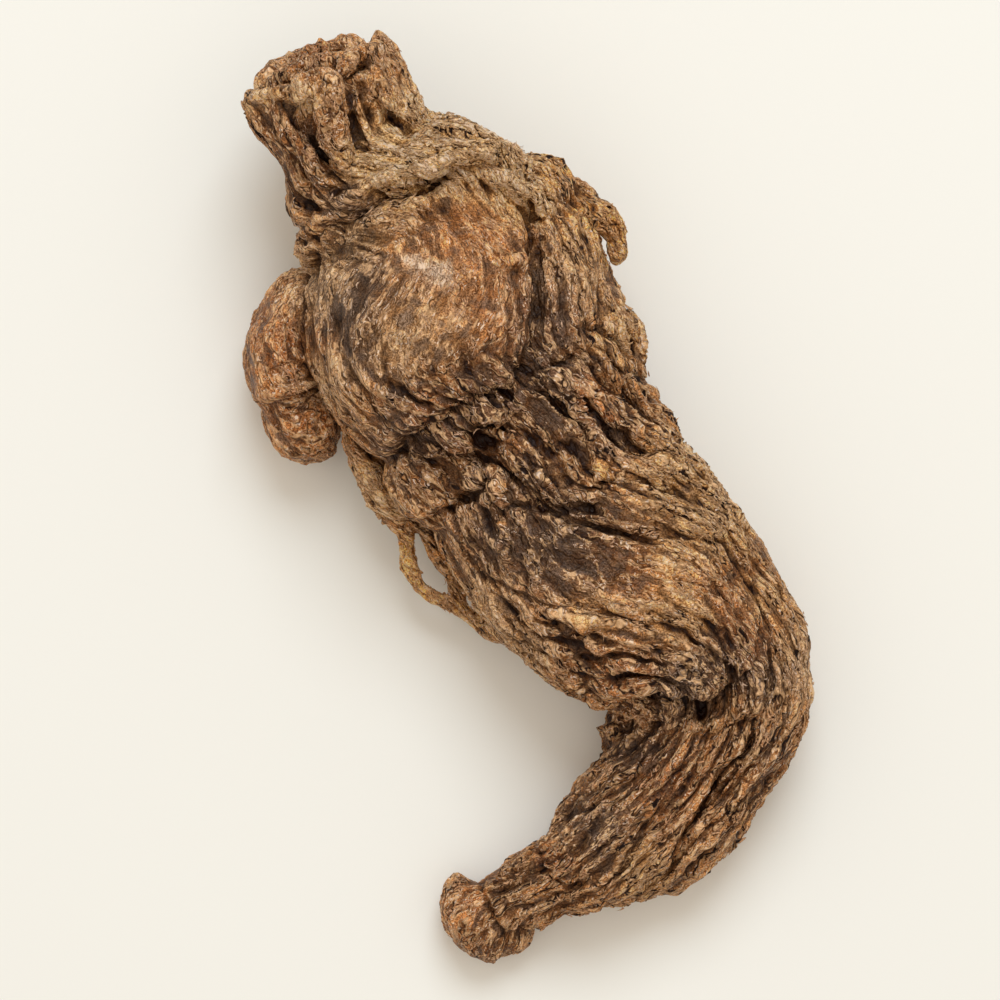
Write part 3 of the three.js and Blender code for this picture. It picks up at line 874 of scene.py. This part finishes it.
# Shrinkage wrinkles: the skin is finely pleated along the grain of the flesh, deeper where it was pinched.
# Each row is a place in plan, the grain's direction there in degrees, and the wrinkles' depth.
GRAIN = [
    (-23.9, 40.6, -69, 0.28),
    (-16, 42, -62, 0.28),
    (-8.5, 38.9, -18, 0.45),
    (-19.0, 33.2, 20, 0.3),
    (0, 35.5, -30, 0.35),
    (8, 30.5, -40, 0.35),
    (-23.3, 18.6, -88, 0.22),
    (-19.5, 9.8, -47, 0.3),
    (-11.8, 6.5, 5, 0.3),
    (-11, 20, -80, 0.1),
    (-6, 30, -50, 0.1),
    (-0.8, 21.9, -88, 0.16),
    (4.7, 23, -75, 0.25),
    (-26.6, 17.5, -70, 0.16),
    (-25, 8.7, -30, 0.2),
    (-5.2, 7.6, -20, 0.5),
    (1.4, 9.8, -35, 0.5),
    (8, 10.9, -50, 0.5),
    (12.4, 10.9, -50, 0.5),
    (8, 16.4, -40, 0.45),
    (1.4, 3.2, -40, 0.5),
    (6.9, 4.3, -45, 0.45),
    (13.5, 4.3, -28, 0.4),
    (17.9, 1, -42, 0.4),
    (-10.7, 2.1, -35, 0.25),
    (3.6, -2.3, -12, 0.22),
    (12.4, -3.4, -5, 0.25),
    (19, -4.5, -15, 0.3),
    (23.4, -6.7, -50, 0.3),
    (-8.5, -5.6, -55, 0.3),
    (-5.2, -11.1, -45, 0.3),
    (-0.8, -16.6, -40, 0.3),
    (4.7, -21, -28, 0.4),
    (2.5, -10, -15, 0.25),
    (10.2, -10, -10, 0.2),
    (17.9, -10, -20, 0.25),
    (23.4, -12.2, -55, 0.25),
    (27.8, -13.3, -72, 0.3),
    (3.6, -15.5, -12, 0.4),
    (10.2, -16.6, -8, 0.45),
    (16.8, -16.6, -25, 0.4),
    (22.3, -17.7, -60, 0.4),
    (11.3, -21, 5, 0.5),
    (30, -19.9, -85, 0.3),
    (28.9, -26.5, -115, 0.35),
    (24.5, -33.1, -130, 0.4),
    (17.9, -40.8, -140, 0.4),
    (21.2, -24.3, -110, 0.4),
    (16.8, -28.7, -125, 0.35),
    (11.3, -34.2, -130, 0.35),
    (5.8, -39.7, -135, 0.35),
    (0.3, -43, -155, 0.35),
    (-5.2, -45.2, -110, 0.25),
]
GRAIN_REACH = 3.2


def grain_at(points, normals):
    """The grain's direction over the skin and the wrinkles' depth at each point: the means of the rows,
    weighted by exp(-distance^2 / (2 reach^2)), the direction then laid flat on the skin."""
    x, y, direction, depth = np.array(GRAIN, float).T
    gap = (points[:, :1] - x) ** 2 + (points[:, 1:2] - y) ** 2
    weight = np.exp(-gap / (2 * GRAIN_REACH**2)) + 1e-6 / (1 + gap)
    way = np.stack([weight @ np.cos(np.radians(direction)), weight @ np.sin(np.radians(direction))], 1)
    way = np.hstack([unit(way), np.zeros((len(way), 1))])
    way = unit(way - normals * np.einsum("ij,ij->i", way, normals)[:, None])
    return way, weight @ depth / weight.sum(-1)


def grain_distances(points, normals, edges, rounds=400):
    """Distances over the skin along the grain and across it. Each is the weighted least squares fit of the
    rise over every edge to the edge's own reach in that direction, found by conjugate gradients. Underneath,
    the way across turns back, so that the distances meet again, and the fit is loose."""
    way, depth = grain_at(points, normals)
    below = normals[:, 2] < -0.3
    aside = np.cross(normals, way) * np.where(below, -1, 1)[:, None]
    first, second = edges.T
    weight = np.where(below[first] | below[second], 0.03, 1.0)
    step = points[second] - points[first]
    found = []
    for direction in (way, aside):
        rise = weight * np.einsum("ij,ij->i", step, direction[first] + direction[second]) / 2
        left = np.bincount(second, rise, len(points)) - np.bincount(first, rise, len(points))
        search, value, size = left.copy(), np.zeros(len(points)), left @ left
        for _ in range(rounds):
            slope = weight * (search[second] - search[first])
            pull = np.bincount(second, slope, len(points)) - np.bincount(first, slope, len(points))
            share = size / (search @ pull)
            value += share * search
            left -= share * pull
            size, last = left @ left, size
            search = left + size / last * search
        found.append(value)
    return np.stack(found, 1), way, depth


# The skin is finer on the upper side than underneath, where it can't be seen.
points = read_points(root)
normals = read_normals(root)
under = root.vertex_groups.new(name="under")
hidden = normals[:, 2] < -0.35
for chosen, weight in ((hidden, 1.0), (~hidden, 0.25)):
    under.add(np.where(chosen)[0].tolist(), weight, "REPLACE")
MOST_FACES = 198000
thin = root.modifiers.new("thin", "DECIMATE")
thin.ratio = min(1.0, MOST_FACES / (2 * len(root.data.polygons)))
thin.vertex_group = "under"
settle(root)


def read_faces(piece):
    """The piece's faces as triangles of point numbers."""
    piece.data.calc_loop_triangles()
    faces = np.empty(3 * len(piece.data.loop_triangles), np.int32)
    piece.data.loop_triangles.foreach_get("vertices", faces)
    return faces.reshape(-1, 3)


def largest_part(points, faces):
    """The largest connected part, without pairs of faces that lie back to back. Every point takes the
    lowest number among the points it shares a face with, over and over, so each part ends with its own."""
    _, place, count = np.unique(np.sort(faces, 1), axis=0, return_inverse=True, return_counts=True)
    faces = faces[count[place.ravel()] == 1]
    part, last = np.arange(len(points)), None
    while last is None or (part != last).any():
        last = part.copy()
        np.minimum.at(part, faces, last[faces].min(1, keepdims=True))
        part = part[part]
    faces = faces[part[faces[:, 0]] == np.bincount(part).argmax()]
    used, faces = np.unique(faces, return_inverse=True)
    return points[used], faces.reshape(-1, 3)


points, faces = largest_part(read_points(root), read_faces(root))
bpy.data.objects.remove(root)
root = new_mesh("root_skin", points, faces)

points = read_points(root)
normals = read_normals(root)
edges = read_edges(root)
grain, way, depth = grain_distances(points, normals, edges)
bent = grain + 0.5 * np.stack([noise(points / 2.2, 51), noise(points / 2.2, 52)], 1)
layer = points[:, 2:] / 9


def relief(points, normals, edges, rounds):
    """How far each point stands out: the way from the smoothed point to it, along the normal."""
    return np.einsum("ij,ij->i", points - spread(points, edges, rounds), normals)


def lines(values, breadth):
    """Narrow ridges along the zero lines of the values: exp(-|value| / breadth)."""
    return np.exp(-np.abs(values) / breadth)


rolled = noise(np.hstack([bent / (9.0, 2.6), layer]), 18)
ridged = noise(np.hstack([bent / (11.0, 1.15), layer]), 11)
furrowed = noise(np.hstack([bent / (10.0, 1.3), layer]), 14)
puckered = noise(np.hstack([bent / (3.2, 0.9), layer]), 12)
crust = np.abs(noise(np.hstack([bent / (1.3, 0.62), layer]), 13))
tint = skin_colour(points)
brightness = tint.mean(1) / tint.mean() - 1
patchy = noise(points / 2.4, 15) + 0.6 * noise(points / 1.1, 16) + 0.35 * noise(points / 0.6, 17)
flaky = np.clip(0.5 + 0.9 * patchy + 0.45 * brightness, 0, 1)
wrinkles = 1.9 * lines(rolled, 0.2) + 1.2 * lines(ridged, 0.25) - 1.4 * lines(furrowed, 0.22) - 0.5
wrinkles += 0.4 * lines(puckered, 0.25)
# Thin strands are hardly wrinkled.
depth *= np.clip(1.6 - relief(points, normals, edges, 25) / 0.45, 0.2, 1)
points += normals * (depth * wrinkles + 0.3 * flaky * (crust - 0.25))[:, None]
points[:, 2] = np.maximum(points[:, 2], 0.02)
write_points(root, points)
root.data.polygons.foreach_set("use_smooth", np.ones(len(root.data.polygons), bool))


def write_attribute(piece, name, values, kind=None):
    """Stores a number, or a colour or a vector, for each point."""
    kind = kind or ("FLOAT" if values.ndim == 1 else "FLOAT_COLOR")
    key = {"FLOAT": "value", "FLOAT_COLOR": "color", "FLOAT_VECTOR": "vector"}[kind]
    if kind == "FLOAT_COLOR":
        values = np.hstack([values, np.ones((len(values), 1))])
    attribute = piece.data.attributes.new(name, kind, "POINT")
    attribute.data.foreach_set(key, values.astype(np.float32).ravel())


normals = read_normals(root)
small = relief(points, normals, edges, 6)
middle = relief(points, normals, edges, 40)
large = relief(points, normals, edges, 220)
raised = 0.7 * small / small.std() + 1.0 * middle / middle.std() + 0.5 * large / large.std()
write_attribute(root, "raised", np.clip(0.5 + 0.2 * raised, 0, 1))
write_attribute(root, "flaky", flaky)
creased = depth.clip(0, 0.35) / 0.35
write_attribute(root, "creased", creased)
write_attribute(root, "crested", creased * (lines(rolled, 0.16) + 0.7 * lines(ridged, 0.2)))
# Where the furrows run, for the painted shade along them.
write_attribute(root, "furrowed", creased * lines(furrowed, 0.22))
write_attribute(root, "tint", tint)
write_attribute(root, "grain", np.hstack([grain, points[:, 2:]]), "FLOAT_VECTOR")


class Wire:
    """A shader socket that can be reckoned with: an expression on wires adds Math nodes."""

    def __init__(self, tree, socket):
        self.tree, self.socket = tree, socket

    def node(self, kind, settings=(), output=0, **sockets):
        """Any node: its type, its settings, then the values or wires of its sockets, by name with _ for a
        space, or by number after an i."""
        made = self.tree.nodes.new(kind)
        for name, value in dict(settings).items():
            setattr(made, name, value)
        for name, value in sockets.items():
            key = int(name[1:]) if name[1:].isdigit() else name.replace("_", " ")
            if isinstance(value, Wire):
                self.tree.links.new(value.socket, made.inputs[key])
            else:
                made.inputs[key].default_value = value
        return Wire(self.tree, made.outputs[output])

    def maths(self, operation, a, b=0.0, **settings):
        return self.node("ShaderNodeMath", {"operation": operation, **settings}, i0=a, i1=b)

    def vector(self, operation, other, output=0):
        return self.node("ShaderNodeVectorMath", {"operation": operation}, output, i0=self, i1=other)

    def __add__(self, other):
        return self.maths("ADD", self, other)

    def __sub__(self, other):
        return self.maths("SUBTRACT", self, other)

    def __rsub__(self, other):
        return self.maths("SUBTRACT", other, self)

    def __mul__(self, other):
        return self.maths("MULTIPLY", self, other)

    __radd__ = __add__
    __rmul__ = __mul__

    def held(self):
        """Held between 0 and 1."""
        return self.maths("ADD", self, 0.0, use_clamp=True)

    def over(self, low, high):
        """0 where this is at low, passing smoothly to 1 at high."""
        settings = {"interpolation_type": "SMOOTHSTEP"}
        if low < high:
            return self.node("ShaderNodeMapRange", settings, Value=self, From_Min=low, From_Max=high)
        return 1 - self.over(high, low)

    def blend(self, first, second):
        """The first colour where this is 0, the second where it is 1."""
        return self.node("ShaderNodeMix", {"data_type": "RGBA"}, 2, i0=self, i6=first, i7=second)


def screen(colour):
    """A colour socket's value for a screen colour."""
    return (*linear(colour), 1)


def dried_skin():
    """The skin's finish. Where it is whole it is dark satin with fine cracks. Where it flakes, thin plates
    drawn out along the grain tilt up, tan and dull at their raised edges, where the tan is a painted
    highlight, and dark in the gaps between, which is painted shade. Pale painted glints sit on small tilted
    plates."""
    material = bpy.data.materials.new("dried_skin")
    material.use_nodes = True
    tree = material.node_tree
    tree.nodes.clear()
    start = Wire(tree, None)
    place = start.node("ShaderNodeTexCoord", output=3)

    def stored(name, output=2):
        """One of the amounts stored on the skin."""
        return start.node("ShaderNodeAttribute", {"attribute_name": name}, output)

    def mottle(where, scale, detail, rough=0.55, output=0):
        """Noise, with its grains 1 / scale across."""
        sockets = {"Vector": where, "Scale": scale, "Detail": detail, "Roughness": rough}
        return start.node("ShaderNodeTexNoise", {}, output, **sockets)

    def plates(where):
        """Plates that each tilt their own way: the tilt, about -0.5 to 0.5, and a random amount for each."""
        middle = start.node("ShaderNodeTexVoronoi", {"voronoi_dimensions": "2D"}, 2, Vector=where, Scale=1.0)
        chance = start.node("ShaderNodeTexVoronoi", {"voronoi_dimensions": "2D"}, 1, Vector=where, Scale=1.0)
        lean = chance.vector("SUBTRACT", (0.5, 0.5, 0.5))
        tilt = where.vector("SUBTRACT", middle).vector("DOT_PRODUCT", lean, output=1) * 2.4
        return tilt, chance.vector("DOT_PRODUCT", (0, 0, 1), output=1)

    grain, tint = stored("grain", 1), stored("tint", 0)
    raised, flaky, creased = stored("raised"), stored("flaky"), stored("creased")
    crested, furrowed = stored("crested"), stored("furrowed")
    curl = mottle(place, 900, 1.0, output=1).vector("SUBTRACT", (0.5, 0.5, 0.5))
    curly = grain.vector("ADD", curl.vector("MULTIPLY", (1.2, 0.5, 0)))
    blotch = mottle(place, 430, 4.0, 0.65)
    shade = mottle(place, 700, 3.0, 0.6)
    crinkle = mottle(place, 5200, 2.0, 0.7)

    def fold(along, aside, shift):
        """Small folds of skin: noise, less 0.5, whose zero line is the fold's edge."""
        where = curly.vector("MULTIPLY", (along, aside, 1)).vector("ADD", (shift, 0, 0))
        return mottle(where, 1.0, 1.0) - 0.5

    def edge(folds, breadth):
        """The fold's painted lit edge and the painted shade line under it, each about breadth wide in the
        noise's amounts.
        """
        lit = folds.over(breadth, 0.2 * breadth) * folds.over(-0.4 * breadth, 0.2 * breadth)
        return lit, folds.over(-1.5 * breadth, -0.7 * breadth) * folds.over(0.1 * breadth, -0.5 * breadth)

    long_folds, folds, short_folds = fold(0.25, 1.2, 0), fold(0.6, 2.3, 31), fold(1.4, 3.6, 62)
    long_lit, long_dark = edge(long_folds, 0.07)
    lit, under = edge(folds, 0.1)
    short_lit, short_dark = edge(short_folds, 0.16)
    large_tilt, large_chance = plates(curly.vector("MULTIPLY", (1.5, 3.4, 0)))
    small_tilt, small_chance = plates(curly.vector("MULTIPLY", (3.2, 6.6, 0)))

    # How much of the skin is flaking: little in the hollows, most on the crests.
    loose = (raised - 0.5) * 2.2 + (flaky - 0.5) * 0.9 + (blotch - 0.5) * 2.2 + crested * 0.4 - 0.25
    loose = loose.over(-0.2, 0.25)
    sparse = large_chance.over(0.35, 0.6)
    # Painted highlight: the lit edges of the folds, drawn as amber lines, most where the skin flakes.
    line = long_lit * (0.12 + loose * 0.88) + lit * sparse * (0.04 + loose * 0.96)
    line = line + short_lit * sparse * loose
    line = line.held() * (creased * 0.4 + 0.6)
    # Painted shade: the dark lines under the fold edges.
    gap = long_dark * (0.35 + loose * 0.35) + under * (0.1 + loose * 0.25) + short_dark * sparse * loose * 0.3
    gap = gap.held() * (creased * 0.5 + 0.5)
    # Painted glints: pale spots on the up-tilted sides of small plates.
    glinting_chips = small_tilt.over(0.06, 0.2) * small_chance.over(0.6, 0.7) * (0.1 + loose * 0.9)
    # Painted shade: the skin goes towards nearly black in the painted shade lines under the fold edges, along
    # the furrows and in the low hollows.
    dark = (gap * 0.85 + furrowed * 0.5 + raised.over(0.3, 0.05) * 0.4).held()

    umber = tint.vector("MULTIPLY", (1.0, 0.84, 0.68))
    grey = (flaky * 0.7 + 0.3).blend(screen(GREY_BROWN), tint.vector("MULTIPLY", (1.15, 1.06, 0.96)))
    satin = shade.over(0.38, 0.58).blend(umber, grey)
    tan = tint.vector("MULTIPLY", (1.3, 1.12, 0.94))
    crumple = large_chance.blend(tan, tint.vector("MULTIPLY", (2.1, 1.9, 1.68)))
    skin = loose.blend(satin, crumple)
    # Painted light and shade, partly wear: the skin is lighter where it stands out or is crested and darker
    # in the hollows.
    rubbed_and_painted_light = raised * 1.2 + crested * 0.3 + 0.5
    skin = skin.vector("MULTIPLY", rubbed_and_painted_light.vector("MINIMUM", (1.7, 1.7, 1.7)))
    # Painted fine light and shade: a fine noise mixes a darker, shaded copy of the skin with a lighter, lit
    # copy.
    shaded = skin.vector("MULTIPLY", (0.6, 0.57, 0.54))
    skin = crinkle.over(0.4, 0.6).blend(shaded, skin.vector("MULTIPLY", (1.45, 1.46, 1.48)))
    # The skin with its painted lit edges, in amber, and its painted glints, in pale.
    skin_with_painted_light = glinting_chips.held().blend(line.held().blend(skin, screen(AMBER)), screen(PALE))
    colour = dark.blend(skin_with_painted_light, screen(NEARLY_BLACK))
    # Darker skin is redder.
    colour = colour.vector("POWER", (1.26, 1.36, 1.54)).vector("MULTIPLY", (1.4, 1.92, 3.6))
    colour = colour.vector("MINIMUM", (0.9, 0.66, 0.48))
    rough = 0.38 + loose * 0.2 + (crinkle - 0.5) * 0.3
    # The fine relief, with its heights in millimetres before the bump deepens it.
    bumps = (
        long_folds.over(-0.06, 0.05) * 0.12
        + folds.over(-0.08, 0.08) * 0.08
        + short_folds.over(-0.12, 0.12) * 0.05
        + line * 0.05
        + (large_tilt * 0.14 + small_tilt * 0.1) * (loose * 0.8 + 0.2)
        + crinkle * 0.06
    )
    bump = start.node("ShaderNodeBump", Strength=1.0, Distance=0.0014, Height=bumps)
    shader = start.node(
        "ShaderNodeBsdfPrincipled",
        Base_Color=colour,
        Roughness=rough.held(),
        Normal=bump,
        Specular_IOR_Level=0.2,
    )
    out = tree.nodes.new("ShaderNodeOutputMaterial")
    tree.links.new(shader.socket, out.inputs["Surface"])
    return material


root.data.materials.append(dried_skin())

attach(root, "root")
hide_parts("root")

# Slivers of skin that have cracked loose as it dried and curl up from it. Most lie along the grain with one
# long edge lifted. They sit thickest where the skin flakes and stands out. Each has three rings of four
# points and a point at each tip.
SLIVERS = 6000
SLIVER_RINGS = np.array([0, 0.22, 0.5, 0.78, 1])
SLIVER_GIRTH = np.array([0, 0.8, 1, 0.75, 0])
SLIVER_POINTS = 14


def slivers(points, normals, way, likely, count, seed):
    """Curled slivers. At s from 0 to 1 along one, its middle is base + heading L (s - 1/2) + sideways bend L
    (s - 1/2)^2 + normal L (lift s^2), and its section is a flat lozenge rolled about the heading."""
    draw = np.random.default_rng(seed)
    at = draw.choice(len(points), count, replace=False, p=likely / likely.sum())
    base, normal, along = points[at], normals[at], way[at]
    turn = draw.normal(0, 0.55, count)[:, None]
    side = np.cross(normal, along)
    heading = np.cos(turn) * along + np.sin(turn) * side
    side = np.cross(normal, heading)
    length = np.exp(draw.normal(-0.5, 0.35, count))[:, None, None]
    width = draw.uniform(0.08, 0.17, count)[:, None, None] * length**0.5
    bend = draw.normal(0, 1.1, count)[:, None, None]
    lift = np.abs(draw.normal(0, 0.09, count))[:, None, None]
    roll = draw.uniform(0.2, 1.3, count) * draw.choice((-1, 1), count)
    s = SLIVER_RINGS[None, :, None] - 0.5
    middle = base[:, None] + normal[:, None] * 0.03 + length * (
        heading[:, None] * s + side[:, None] * bend * s**2 + normal[:, None] * lift * (s + 0.5) ** 2
    )
    rolled = roll[:, None] * (1 + 0.5 * s[..., 0])
    flat = np.cos(rolled)[..., None] * side[:, None] + np.sin(rolled)[..., None] * normal[:, None]
    upright = np.cross(heading[:, None], flat)
    angle = np.arange(4) * math.pi / 2
    girth = SLIVER_GIRTH[None, :, None] * width
    broad, thick = (girth * flat)[:, :, None], (girth * upright)[:, :, None]
    ring = np.cos(angle)[:, None] * broad + np.sin(angle)[:, None] * 0.3 * thick
    raised_edge = 0.03 + np.abs(np.sin(rolled))[..., None] * girth
    middle = middle + normal[:, None] * raised_edge * 0.6
    rings = (middle[:, :, None] + ring).reshape(count, 20, 3)
    return rings[:, 3:17].reshape(-1, 3), at


def sliver_faces(count):
    """The faces of each sliver: triangles between its rings of four points, which close on one point at
    each tip."""
    quads = grid_faces(5, 4)
    triangles = np.vstack([quads[:, [0, 1, 2]], quads[:, [0, 2, 3]]]).clip(3, 16) - 3
    whole = (triangles != np.roll(triangles, 1, axis=1)).all(1)
    return (triangles[whole][None] + SLIVER_POINTS * np.arange(count)[:, None, None]).reshape(-1, 3)


likely = (0.03 + np.clip(1.6 * flaky - 0.5, 0, 1) ** 2) * (0.25 + np.clip(raised, -0.25, 2))
likely *= np.clip(normals[:, 2] - 0.3, 0, 0.5)
sliver_points, at = slivers(points, normals, way, np.maximum(likely, 0), SLIVERS, 61)
loose_skin = new_mesh("skin_slivers", sliver_points, sliver_faces(SLIVERS))
chance = np.random.default_rng(62).uniform(0, 1, (SLIVERS, 1))
sliver_tint = tint[at] * (2.4 + 3.4 * chance * (1.0, 1.1, 1.3))
sliver_tint += 0.3 * chance * (linear(PALE) - sliver_tint)
sliver_tint /= np.maximum(sliver_tint.max(1, keepdims=True) / 0.7, 1)
write_attribute(loose_skin, "tint", np.repeat(sliver_tint, SLIVER_POINTS, axis=0))


def curled_skin():
    """The slivers' finish: dull dry tan, each in its own shade."""
    material = bpy.data.materials.new("curled_skin")
    material.use_nodes = True
    tree = material.node_tree
    tree.nodes.clear()
    start = Wire(tree, None)
    place = start.node("ShaderNodeTexCoord", output=3)
    tint = start.node("ShaderNodeAttribute", {"attribute_name": "tint"}, output=0)
    shade = start.node("ShaderNodeTexNoise", Vector=place, Scale=4000.0, Detail=1.0)
    colour = shade.over(0.35, 0.65).blend(tint.vector("MULTIPLY", (0.5, 0.45, 0.4)), tint)
    shader = start.node("ShaderNodeBsdfPrincipled", Base_Color=colour, Roughness=0.5, Specular_IOR_Level=0.4)
    out = tree.nodes.new("ShaderNodeOutputMaterial")
    tree.links.new(shader.socket, out.inputs["Surface"])
    return material


loose_skin.data.materials.append(curled_skin())
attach(loose_skin, "root")

# The table top that the root lies on, the soft light and the camera looking straight down on it.
TABLE_REACH = 900.0
table_corners = TABLE_REACH * np.array([(-1, -1, 0), (1, -1, 0), (1, 1, 0), (-1, 1, 0)])
floor = new_mesh("floor", table_corners, np.array([[0, 1, 2, 3]]))
paper = bpy.data.materials.new("pale_table")
paper.use_nodes = True
paper.node_tree.nodes["Principled BSDF"].inputs["Base Color"].default_value = (0.88, 0.87, 0.83, 1)
paper.node_tree.nodes["Principled BSDF"].inputs["Roughness"].default_value = 0.9
floor.data.materials.append(paper)

scene = bpy.context.scene
scene.view_settings.view_transform = "Standard"

# The room's light is strongest overhead, so that what is low down is little shaded by what stands beside it.
world = bpy.data.worlds.new("room")
world.use_nodes = True
sky = Wire(world.node_tree, None)
upward = sky.node("ShaderNodeSeparateXYZ", output=2, Vector=sky.node("ShaderNodeTexCoord")).held()
background = world.node_tree.nodes["Background"]
background.inputs["Color"].default_value = (1.0, 0.915, 0.8, 1)
world.node_tree.links.new((upward * upward * 0.82 + 0.35).socket, background.inputs["Strength"])
scene.world = world

# A broad lamp, like a window, leans over the crown's end of the table. Its distance is in metres.
LAMP_AWAY = 1.1
LAMP_LEAN = math.radians(38)
LAMP_TURN = math.radians(8)
lamp_data = bpy.data.lights.new("window", "AREA")
lamp_data.shape = "DISK"
lamp_data.size = 0.6
lamp_data.energy = 6.1
lamp_data.color = (0.82, 0.92, 1.0)
lamp = bpy.data.objects.new("window", lamp_data)
lamp.rotation_euler = (-LAMP_LEAN, 0, -LAMP_TURN)
lamp.location = (
    LAMP_AWAY * math.sin(LAMP_LEAN) * math.sin(LAMP_TURN),
    LAMP_AWAY * math.sin(LAMP_LEAN) * math.cos(LAMP_TURN),
    LAMP_AWAY * math.cos(LAMP_LEAN),
)
scene.collection.objects.link(lamp)

# The camera sees a square this wide at the height of the root's middle, from this far above it, in metres.
SEEN_WIDTH = 0.11
CAMERA_AWAY = 0.6
MIDDLE_HEIGHT = 0.012
camera_data = bpy.data.cameras.new("camera")
camera_data.lens = camera_data.sensor_width * CAMERA_AWAY / SEEN_WIDTH
camera_data.clip_end = 10
camera = bpy.data.objects.new("camera", camera_data)
camera.location = (-0.003, 0.0, CAMERA_AWAY + MIDDLE_HEIGHT)
scene.collection.objects.link(camera)
scene.camera = camera
